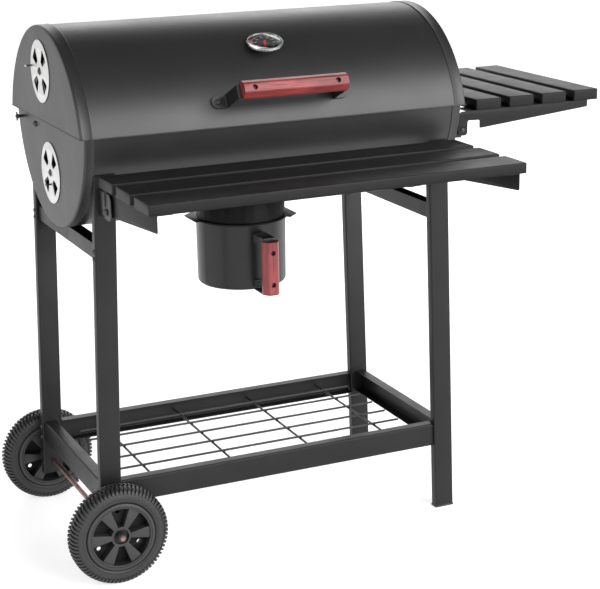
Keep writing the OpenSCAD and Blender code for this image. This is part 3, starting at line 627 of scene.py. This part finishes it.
bm = bmesh.new()
path = [(XC - TOE_X, -STRAP_FOOT), (XC - ARM_X, -STRAP_FOOT), (XC - ARM_X, -STRAP_FRONT),
        (XC + ARM_X, -STRAP_FRONT), (XC + ARM_X, -STRAP_FOOT), (XC + TOE_X, -STRAP_FOOT)]
strap(bm, fillet(path, STRAP_BENDS, 5, closed=False), 26, 3, M_LID, round_ends=True)
piece("lid_strap", bm, "lid", M["strap"], "lid_handle_strap")
bm = grip(106, 17, 20.3, (-GRIP_SCREW_X, GRIP_SCREW_X), M_GRIP)
piece("lid_handle", bm, "lid", M["lidwood"], "lid_grip")
bm = bmesh.new()
for x in (-GRIP_SCREW_X, GRIP_SCREW_X):
    grip_screw(bm, M_GRIP, x, 11.2)
    nut = fillet([(0, 4.9), (4.6, 4.9), (5, 4.4), (5, 0)], [0, 0, 0.4, 0], 3)
    lathe(bm, nut, M_LID @ at(XC + x, -302.6, 0) @ turn(-90, "X"), 6)
for s in (-1, 1):
    screw(bm, M_LID @ at(XC + s * FOOT_X, -STRAP_FOOT - 1.5, 0) @ turn(90, "X"), 5.5, 3.2)
piece("lid_handle_bolts", bm, "lid", M["dark"], "lid_handle_screws")


# ------------------------------------------------------------------ thermometer
DIAL_TH = radians(50.7)                   # place of the dial round the lid
DIAL_TIP, DIAL_LEAN = 21, -6.5            # the dial faces more upward than the lid's sheet, and a little left
INK = (12.2, 12.32)                       # printed marks, from the face of the dial up
SCALE_FROM, SCALE_SWEEP = -52, 284        # degrees
M_DIAL = at(XC - 1.5, YC - LID_R * cos(DIAL_TH), LID_Z + LID_R * sin(DIAL_TH))
M_DIAL = M_DIAL @ turn(DIAL_TIP, "X") @ turn(DIAL_LEAN, "Y")


def ring_part(bm, r0, r1, a0, a1, M, n=24):
    """Printed band between two radii and two angles."""
    pts = [(r1 * cos(a0 + (a1 - a0) * k / n), r1 * sin(a0 + (a1 - a0) * k / n)) for k in range(n + 1)]
    pts += [(r0 * cos(a1 + (a0 - a1) * k / n), r0 * sin(a1 + (a0 - a1) * k / n)) for k in range(n + 1)]
    prism(bm, pts, *INK, M)


bm = bmesh.new()
case = [(3.4, 3.7), (9, 3.7), (9, 6.6), (20, 7.4), (29, 9.2), (33.5, 10.4), (35, 11.2), (35, 14.0),
        (33.4, 14.6), (31.6, 14.2), (31, 11.7), (3.4, 11.6)]
lathe(bm, fillet(case, [0, 0.5, 1, 3, 2, 1, 0.6, 0.9, 1.2, 0.6, 0.1, 0], 4), M_DIAL, 128, closed=True)
piece("dial_bezel", bm, "lid", M["chrome"], "thermo_case")
for side, colour, a0, a1 in (("right", "green", -50, 35), ("left", "needle", 140, 232)):
    bm = bmesh.new()
    ring_part(bm, 26.6, 28.6, radians(a0), radians(a1), M_DIAL)
    piece("dial_band_" + side, bm, "lid", M[colour], slot="dial_face")
bm = bmesh.new()
for k in range(41):
    r0, half = (21.5, 0.45) if k % 5 == 0 else (23.6, 0.25)
    Mk = M_DIAL @ Matrix.Rotation(radians(SCALE_FROM + k * SCALE_SWEEP / 40), 4, "Z")
    block(bm, (r0, -half, INK[0]), (26.0, half, INK[1]), Mk, 0.05, 1)
for k in range(9):                        # three plain rings stand for each group of small figures
    a = radians(SCALE_FROM + k * SCALE_SWEEP / 8)
    for j in (-1, 0, 1):
        Mk = M_DIAL @ at(17.6 * cos(a) + j * 1.9, 17.6 * sin(a), 0) @ Matrix.Diagonal((0.75, 1.25, 1, 1))
        ring_part(bm, 0.55, 1.0, 0, 2 * pi * 0.999, Mk, 12)
piece("dial_marks", bm, "lid", M["white"], slot="dial_face")
bm = bmesh.new()
Mn = M_DIAL @ at(0, 0, 12.5) @ turn(160, "Z")
lathe(bm, fillet([(0, 0.6), (2.4, 0.6), (3.0, 0.3), (3.0, 0), (0, 0)], [0, 0.3, 0.2, 0, 0], 3), Mn, 32)
blade = [(-2.0, -8), (2.0, -8), (2.4, 3), (0.7, 24.5), (-0.7, 24.5), (-2.4, 3)]
prism(bm, fillet(blade, [0.6, 0.6, 0, 0.6, 0.6, 0], 3), 0, 0.4, Mn, 0.1, 1)
piece("dial_needle", bm, "needle", M["needle"], "thermo_needle")


# ------------------------------------------------------------------ ash pot and its handle
POT_R, POT_WALL, POT_Z, POT_TOP = 92.0, 1.5, 497.0, 633.0
POT_STRAP_Y, POT_TOE_Y = 64.5, 113.9      # front of the strap, and ends of its feet at the pot
POT_GRIP_AT, POT_GRIP_SCREWS = (PX, 42, 557.2), (-32.6, 32.8)
bm = bmesh.new()
bead = POT_R + 2.4
pot = [(0, POT_Z), (POT_R - 1, POT_Z), (POT_R, POT_TOP - 3.4), (bead, POT_TOP - 3.2), (bead, POT_TOP),
       (POT_R - POT_WALL, POT_TOP), (POT_R - POT_WALL - 1, POT_Z + POT_WALL), (0, POT_Z + POT_WALL)]
lathe(bm, fillet(pot, [0, 9, 0.5, 1.4, 1.3, 0.6, 7.5, 0], 7), at(PX, YC, 0), 128)
floor_ring = [(30, POT_Z + 0.02), (31, POT_Z + 0.9), (60, POT_Z + 0.9), (61, POT_Z + 0.02)]
lathe(bm, floor_ring, at(PX, YC, 0), 96)
piece("ash_pot_body", bm, "pot", M["pot"], "ash_pot")
bm = bmesh.new()
path = [(POT_TOE_Y, 597.5), (POT_TOE_Y, 616.0), (POT_STRAP_Y, 616.0),
        (POT_STRAP_Y, 500.5), (POT_TOE_Y, 500.5), (POT_TOE_Y, 519)]
strap(bm, fillet(path, STRAP_BENDS, 5, closed=False), 24, 2.9, at(PX, 0, 0) @ ALONG_X)
piece("ash_pot_strap", bm, "pot", M["strap"], "pot_strap")
M_PG = at(*POT_GRIP_AT) @ turn(90, "Y")
bm = grip(54.0, 17.4, 20.9, POT_GRIP_SCREWS, M_PG)
piece("ash_pot_handle", bm, "pot", M["potwood"], "pot_grip")
bm = bmesh.new()
for x in POT_GRIP_SCREWS:
    grip_screw(bm, M_PG, x, 11.8)
for z in (510, 607.5):
    screw(bm, at(PX, POT_TOE_Y - 1.5, z) @ turn(90, "X"), 5, 3)
piece("ash_pot_bolts", bm, "pot", M["dark"], "pot_screws")


# ------------------------------------------------------------------ wheels
HUB_X, HUB_Z = 3, 95
WHEEL_H = 64                              # the two faces of a wheel mirror at half of this height
LUGS = 72
LUG = [(93.8, 33.4, 0.27), (98.2, 33.8, 0.22), (98.8, 36, 0.23), (98.6, 42, 0.24), (97.2, 47, 0.25),
       (94.4, 51.2, 0.26), (90.6, 54.0, 0.27), (87.2, 54.7, 0.27), (86.2, 52.8, 0.3), (90, 49.5, 0.32),
       (92.2, 44, 0.33)]                  # (radius, height, half width as a part of the pitch)


def mirrored(half):
    return half + [(r, WHEEL_H - h) for r, h in reversed(half)]


def tyre(bm, M):
    """Smooth carcass with two staggered rows of skewed lugs."""
    side = [(69, 50), (70.4, 52.4), (72.6, 53.9), (74.4, 54.0), (75.0, 54.7), (76.6, 54.8), (77.2, 54.1),
            (80.5, 54.3), (84.5, 53.7), (88, 52.4), (91, 50), (93.2, 46.4), (94.4, 41), (94.8, 36)]
    lathe(bm, mirrored(side), M, 144, closed=True)
    for k in range(LUGS):
        for s in (0, 1):
            a0 = 2 * pi * (k + 0.5 * s) / LUGS
            rows = [[], []]
            for r, h, w in LUG:
                height = h if s == 0 else WHEEL_H - h
                skew = (h - 33) / 21 * 0.6
                for j, sg in enumerate((-1, 1)):
                    a = a0 + (sg * w + skew) * 2 * pi / LUGS
                    rows[j].append(bm.verts.new(M @ Vector((r * cos(a), r * sin(a), height))))
            m = len(LUG)
            bm.faces.new(rows[0])
            bm.faces.new(rows[1][::-1])
            for i in range(m):
                bm.faces.new((rows[0][i], rows[0][(i + 1) % m], rows[1][(i + 1) % m], rows[1][i]))


def wheel(bm, M):
    """Rim, hub and six spokes."""
    rim = [(58.3, 54.4), (59, 55), (60.6, 55), (61.2, 54.1), (62, 54.1), (62.6, 55), (66.4, 55), (67.8, 54.2),
           (68.9, 52.6)]
    lathe(bm, mirrored(rim), M, 128, closed=True)
    hub = [(5.05, 2.5), (9, 2.5), (9, 24), (15.4, 24), (15.4, 14), (20, 14), (20, 52), (15.4, 52), (15.4, 42),
           (9, 42), (9, 56), (5.05, 56)]
    lathe(bm, fillet(hub, [0, 0.5, 1, 1, 0.8, 0.8, 0.9, 0.9, 1, 1, 0.8, 0], 3), M, 72, closed=True)
    spoke = [(17, -4.6), (17, 4.6), (59.2, 12.4), (59.2, -12.4)]
    for a in range(0, 360, 60):
        prism(bm, spoke, 13.5, 52.2, M @ turn(a, "Z"), 1.1, 3)


def web(bm, M):
    """Thin disc between the spokes, with three drain holes."""
    holes = [circle(4.6, 28, (47 * cos(radians(a)), 47 * sin(radians(a)))) for a in (90, 210, 330)]
    plate(bm, circle(59, 96), holes + [circle(14, 48)], 30, 35, M, 0.4)


M_FRONT = at(HUB_X, 0, HUB_Z) @ turn(90, "X")
M_BACK = at(HUB_X, BACK, HUB_Z) @ Matrix.Diagonal((1, -1, 1, 1)) @ turn(90, "X")
for name, Mw in (("front", M_FRONT), ("back", M_BACK)):
    bm = bmesh.new()
    wheel(bm, Mw)
    piece(name + "_wheel_moulding", bm, name + "_wheel", M["wheel"], "wheel_" + name)
    bm = bmesh.new()
    web(bm, Mw)
    # the web takes the darker copy of the wheel plastic, a painted shade for its pocket between the spokes
    piece(name + "_wheel_web", bm, name + "_wheel", M["web"], slot="wheel_plastic")
    bm = bmesh.new()
    tyre(bm, Mw)
    piece(name + "_wheel_tyre", bm, name + "_wheel", M["tyre"], "tyre_" + name)


# ------------------------------------------------------------------ trolley
RAIL_TOP, RAIL_BOTTOM, RAIL_MID, RAIL_T = 185, 137, 161, 1.5
SIDE_RAIL_X, SIDE_RAIL_IN = -11.25, 12    # middle of the left rail's web, end of its flanges
LONG_RAIL_Y, LONG_RAIL_IN = 6.75, 28
CROSS_LEN, CROSS_Y = 375.4, 206.5         # channels that run front to back, and their middle
WIRE_R, WIRES, WIRE_PITCH = 2.3, 4, 174
LONG_WIRES, LONG_PITCH, LONG_HALF = 6, 61, 320


def leg_left(z):
    return -SPLAY * (SPLAY_Z - z)


def leg_right(z):
    return PITCH_X + SPLAY * (SPLAY_Z - z)


def leg(y, foot_z, lean):
    """Rounded rectangular tube, open at its foot and cut round the bowl."""
    def shear(z):
        return lean(z), 0

    bm = bmesh.new()
    prism(bm, fillet([(0, y), (LEG_W, y), (LEG_W, y + LEG_D), (0, y + LEG_D)], 2.6, 5), foot_z, LEG_TOP,
          shear=shear)
    cutter = bmesh.new()
    u, v0, v1 = LEG_W - LEG_WALL, y + LEG_WALL, y + LEG_D - LEG_WALL
    prism(cutter, [(LEG_WALL, v0), (u, v0), (u, v1), (LEG_WALL, v1)], foot_z - 5, LEG_TOP - LEG_WALL,
          shear=shear)
    r = BOWL_R + 0.2
    lathe(cutter, [(0, -60), (r, -60), (r, 900), (0, 900)], at(0, YC, BOWL_Z) @ turn(90, "Y"), 192)
    return carve(bm, cutter)


def channel(bm, path, bend, width, t, M):
    strap(bm, fillet(path, bend, 5, closed=False), width, t, M)


for side, lean, foot_z in (("left", leg_left, 68), ("right", leg_right, 0)):
    pair = bmesh.new()
    for y in (0, PITCH_Y):
        bm = leg(y, foot_z, lean)
        me = bpy.data.meshes.new("tmp")
        bm.to_mesh(me)
        bm.free()
        pair.from_mesh(me)
        bpy.data.meshes.remove(me)
    piece("legs_%s_tubes" % side, pair, "trolley", M["frame"], "legs_" + side)

inset = RAIL_T / 2
section = [(1, RAIL_TOP - inset), (0, RAIL_TOP - inset), (0, RAIL_BOTTOM + inset), (1, RAIL_BOTTOM + inset)]
x0, x1 = leg_left(RAIL_MID) + LEG_W, leg_right(RAIL_MID)
bm = bmesh.new()
for back in (False, True):
    path = [(LONG_RAIL_IN if inner else LONG_RAIL_Y, z) for inner, z in section]
    path = [(BACK - y if back else y, z) for y, z in path]
    channel(bm, path, 2.6, x1 - x0, RAIL_T, at((x0 + x1) / 2, 0, 0) @ ALONG_X)
piece("rack_rails_long", bm, "trolley", M["frame"], "rack_long_rails")
M_CROSS = at(0, CROSS_Y, 0) @ ALONG_Y
bm = bmesh.new()
for right_side in (False, True):
    path = [(SIDE_RAIL_IN if inner else SIDE_RAIL_X, z) for inner, z in section]
    path = [(PITCH_X + LEG_W - x if right_side else x, z) for x, z in path]
    channel(bm, path, 2.6, CROSS_LEN, RAIL_T, M_CROSS)
piece("rack_rails_side", bm, "trolley", M["frame"], "rack_side_rails")
bm = bmesh.new()
for x in (3, 715):
    channel(bm, [(x, 657), (x, 626), (x + 24, 626), (x + 24, 657)], 3, CROSS_LEN, 2, M_CROSS)
piece("cross_bars", bm, "trolley", M["frame"], "upper_cross_bars")
bm = bmesh.new()
cross_x = [XC + (i - (WIRES - 1) / 2) * WIRE_PITCH for i in range(WIRES)]
for x in cross_x:
    rod(bm, (x, 7.6, RAIL_MID), (x, BACK - 7.6, RAIL_MID), WIRE_R)
for j in range(LONG_WIRES):
    y = YC - 0.5 + (j - (LONG_WIRES - 1) / 2) * LONG_PITCH
    z = RAIL_MID + 1.7 * WIRE_R
    rod(bm, (XC - LONG_HALF, y, z), (XC + LONG_HALF, y, z), WIRE_R)
    for x in cross_x:                     # weld beads in the four corners of each crossing
        for dx, dy in ((1.9, 1.9), (-1.9, -1.9), (1.9, -1.9), (-1.9, 1.9)):
            blob(bm, (x + dx, y + dy, RAIL_MID + 0.85 * WIRE_R), 1.3)
piece("rack_wires", bm, "trolley", M["wire"], "wire_rack")


# ------------------------------------------------------------------ shelves
FRONT_Z, FRONT_Y, FRONT_LEN, FRONT_W, FRONT_PITCH, FRONT_H = 796, -296, 742, 76, 96, 20
SIDE_Z, SIDE_X, SIDE_W, SIDE_PITCH, SIDE_H = 865, 811, 58, 78, 22
SIDE_Y0, SIDE_Y1 = 4, 405
FRONT_PIVOT, SIDE_PIVOT = (-41, 731), (780, 806)
BRACKET_T = 1.5
FRONT_UNDER, SIDE_UNDER = FRONT_Z - FRONT_H, SIDE_Z - SIDE_H


def tray(bm, a, b, h, r=2.4):
    """Folded slat, open underneath."""
    vs = bmesh.ops.create_cube(bm, size=1.0)["verts"]
    for v in vs:
        v.co = Vector((a[0] + (v.co.x + 0.5) * (b[0] - a[0]), a[1] + (v.co.y + 0.5) * (b[1] - a[1]),
                       b[2] - h + (v.co.z + 0.5) * h))
    faces = dict.fromkeys(f for v in vs for f in v.link_faces)
    underside = [f for f in faces if all(v.co.z < b[2] - h + 0.1 for v in f.verts)]
    bmesh.ops.delete(bm, geom=underside, context="FACES_ONLY")
    es = dict.fromkeys(e for v in vs if v.is_valid for e in v.link_edges if not e.is_boundary)
    bmesh.ops.bevel(bm, geom=list(es), offset=r, segments=4, profile=0.5, affect="EDGES", clamp_overlap=True)


def slats(name, boxes, h, body, node):
    """A row of folded slats; the sheet's thickness is added inward."""
    bm = bmesh.new()
    for a, b in boxes:
        tray(bm, a, b, h)
    sheet = piece(name, bm, body, M["shelf"], node).modifiers.new("sheet", "SOLIDIFY")
    sheet.thickness, sheet.offset = 0.0012, -1


def flange(bm, x0, y0, x1, y1, z):
    """Level strip folded inward from the top of a bracket."""
    plate(bm, fillet([(x0, y0), (x1, y0), (x1, y1), (x0, y1)], 2, 3), [], z - BRACKET_T, z, I4, 0.25)


boxes = [((0, FRONT_Y + i * FRONT_PITCH), (FRONT_LEN, FRONT_Y + FRONT_W + i * FRONT_PITCH, FRONT_Z))
         for i in range(3)]
slats("front_slats", boxes, FRONT_H, "front_shelf", "front_shelf_slats")
boxes = [((SIDE_X + i * SIDE_PITCH, SIDE_Y0), (SIDE_X + SIDE_W + i * SIDE_PITCH, SIDE_Y1, SIDE_Z))
         for i in range(4)]
slats("side_slats", boxes, SIDE_H, "side_shelf", "side_shelf_slats")
bm = bmesh.new()
outline = fillet([(-294, FRONT_UNDER), (-294, 744), (-92, 726), (-60, 724), (-49, 717), (-33, 717), (-31, 724),
                  (-31, FRONT_UNDER)], [0, 4, 20, 12, 8, 6, 3, 0], 4)
for x in (14, 726.5):
    plate(bm, outline, [circle(4.2, 24, FRONT_PIVOT)], x, x + BRACKET_T, ALONG_X, 0.25)
    x0, x1 = (x + 1.2, 44) if x < XC else (698, x + 0.3)
    flange(bm, x0, -294, x1, -31, FRONT_UNDER)
piece("front_shelf_plates", bm, "front_shelf", M["shelf"], "front_shelf_brackets")
bm = bmesh.new()
outline = fillet([(1079, SIDE_UNDER), (1079, 829), (820, 806), (820, 823), (792, 824), (791, 797), (787, 794),
                  (774, 794), (770, 798), (770, 838), (778, SIDE_UNDER)], [0, 3, 3, 3, 3, 3, 2, 3, 3, 4, 0], 4)
for y in (6, 401.5):
    plate(bm, outline, [circle(4.2, 24, SIDE_PIVOT)], y, y + BRACKET_T, ALONG_Y, 0.25)
    y0, y1 = (y + 1.2, 52) if y < YC else (357, y + 0.3)
    flange(bm, 792, y0, 1079, y1, SIDE_UNDER)
piece("side_shelf_plates", bm, "side_shelf", M["shelf"], "side_shelf_brackets")

# slotted hangers of the front shelf: a plate on the leg and a web that stands forward
bm = bmesh.new()
turns = [2 * pi * (k + 0.5) / 24 for k in range(24)]
slot_hole = [(-35 + 3 * cos(a), (762 if sin(a) > 0 else 742) + 3 * sin(a)) for a in turns]
hanger = fillet([(0, 716), (0, 766), (-58, 766), (-66, 758), (-66, 726), (-56, 716)], [0, 0, 5, 5, 5, 5], 4)
for x, x0, x1 in ((8, 8, 36), (733, 707, 735)):
    plate(bm, hanger, [slot_hole, circle(4.06, 24, FRONT_PIVOT)], x, x + 2, ALONG_X, 0.35)
    plate(bm, fillet([(x0, 716), (x1, 716), (x1, 766), (x0, 766)], 3, 4), [], -2, 0, ALONG_Y, 0.35)
piece("hanger_plates", bm, "trolley", M["strap"], "shelf_hangers")


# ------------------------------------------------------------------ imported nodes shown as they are
keep("foot_caps", M["foot"], 0.0006)
keep("frame_bolts hanger_bolts front_shelf_pins side_shelf_pins axle_caps hinge_pins", M["dark"])
keep("axle", M["axle"])
keep("axle_washers", M["zinc"], 0.0004)
keep("bowl_hinge_leaves lid_hinge_leaves", M["strap"], 0.0005)
keep("side_mounts", M["strap"], 0.0004)
keep("ash_collar", M["collar"], 0.0004)
keep("charcoal_grate", M["iron"])
keep("grate_ledges", M["iron"], 0.0003)
keep("grate_left grate_right", M["grate"])
keep("thermo_dial", M["dial"], 0.0002)
keep("thermo_glass", M["glass"], 0.0003)
keep("thermo_stem", M["zinc"], 0.0003)


# ------------------------------------------------------------------ floor, light and camera, in metres
FLOOR_HALF, FLOOR_T = 40, 0.02
bm = bmesh.new()
block(bm, (-FLOOR_HALF, -FLOOR_HALF, -FLOOR_T), (FLOOR_HALF, FLOOR_HALF, 0.0))
me = bpy.data.meshes.new("floor")
bm.to_mesh(me)
bm.free()
floor = bpy.data.objects.new("floor", me)
scene.collection.objects.link(floor)
pale = Mat("floor_pale", Specular_IOR_Level=0.2, Emission_Color=(1, 1, 1, 1))
pale.to("Base Color", pale.ramp(pale.noise(0.8, 3, 0.5), (0.3, 0.74), (0.7, 0.76)))
pale.to("Roughness", pale.ramp(pale.noise(3, 3, 0.5), (0.3, 0.75), (0.7, 0.85)))
# painted glow: the floor emits white light, its strength set by its distance from the object
far = pale.node("ShaderNodeVectorMath", Vector=pale.co)
far.operation = "LENGTH"
glow = pale.node("ShaderNodeMapRange", Value=far.outputs["Value"], From_Min=0.8, From_Max=3.0, To_Min=0.58,
                 To_Max=0.76)              # painted glow: the floor gives off light of its own, weaker near the object and stronger away from it
pale.to("Emission Strength", glow.outputs[0])
me.materials.append(pale.m)


def area(name, loc, target, size, energy, glossy=True):
    d = bpy.data.lights.new(name, "AREA")
    d.shape, d.size, d.size_y, d.energy = "RECTANGLE", size[0], size[1], energy
    o = bpy.data.objects.new(name, d)
    scene.collection.objects.link(o)
    o.location = loc
    o.rotation_euler = (Vector(target) - Vector(loc)).to_track_quat("-Z", "Y").to_euler()
    o.visible_glossy = glossy
    o.visible_camera = False


def studio(steps):
    """Surround that goes from white at the floor and the horizon to dark overhead."""
    world = bpy.data.worlds.new("studio")
    scene.world = world
    world.use_nodes = True
    tree = world.node_tree
    bg = tree.nodes["Background"]
    up_axis = tree.nodes.new("ShaderNodeSeparateXYZ")
    tree.links.new(tree.nodes.new("ShaderNodeTexCoord").outputs["Generated"], up_axis.inputs[0])
    ramp = tree.nodes.new("ShaderNodeValToRGB")
    stops = ramp.color_ramp.elements
    for i, (pos, v) in enumerate(steps):
        stop = stops[i] if i < 2 else stops.new(pos)
        stop.position, stop.color = pos, (v, v, v, 1)
    tree.links.new(up_axis.outputs[2], ramp.inputs[0])
    tree.links.new(ramp.outputs[0], bg.inputs[0])
    bg.inputs[1].default_value = 1.0


studio(((0.0, 1.05), (1.0, 0.02), (0.38, 0.95), (0.66, 0.16)))
area("overhead", (0.0, -0.3, 4.2), (0, 0, 0), (6, 6), 45, glossy=False)
area("front_right", (2.1, -4.2, 2.7), (0, 0, 0.8), (4.6, 3.0), 300)
area("back", (2.0, 4.6, 3.0), (0, 0, 0.9), (6.0, 1.8), 95)
area("left", (-4.2, -1.2, 1.6), (0, 0, 0.7), (2.0, 2.0), 30)

CAM_AT = (-890.1, -2844.4, 1405.6)        # in the millimetres of the shapes
az, el, roll = radians(-24.468), radians(15.943), radians(-0.917)
cam = bpy.data.objects.new("camera", bpy.data.cameras.new("camera"))
scene.collection.objects.link(cam)
cam.data.sensor_fit, cam.data.sensor_width, cam.data.lens = "HORIZONTAL", 36.0, 98.86
cam.data.clip_start, cam.data.clip_end = 0.05, 200
cam.data.shift_x, cam.data.shift_y = 0.00525, -0.0006
back = Vector((sin(az) * cos(el), -cos(az) * cos(el), sin(el)))
right = (-back).cross(Vector((0, 0, 1))).normalized()
up = right.cross(-back).normalized()
axes = (right * cos(roll) + up * sin(roll), up * cos(roll) - right * sin(roll), back)
cam.matrix_world = Matrix.Translation(TO_ROW @ Vector(CAM_AT)) @ Matrix(axes).transposed().to_4x4()
scene.camera = cam
scene.view_settings.view_transform = "Standard"
scene.view_settings.look = "None"
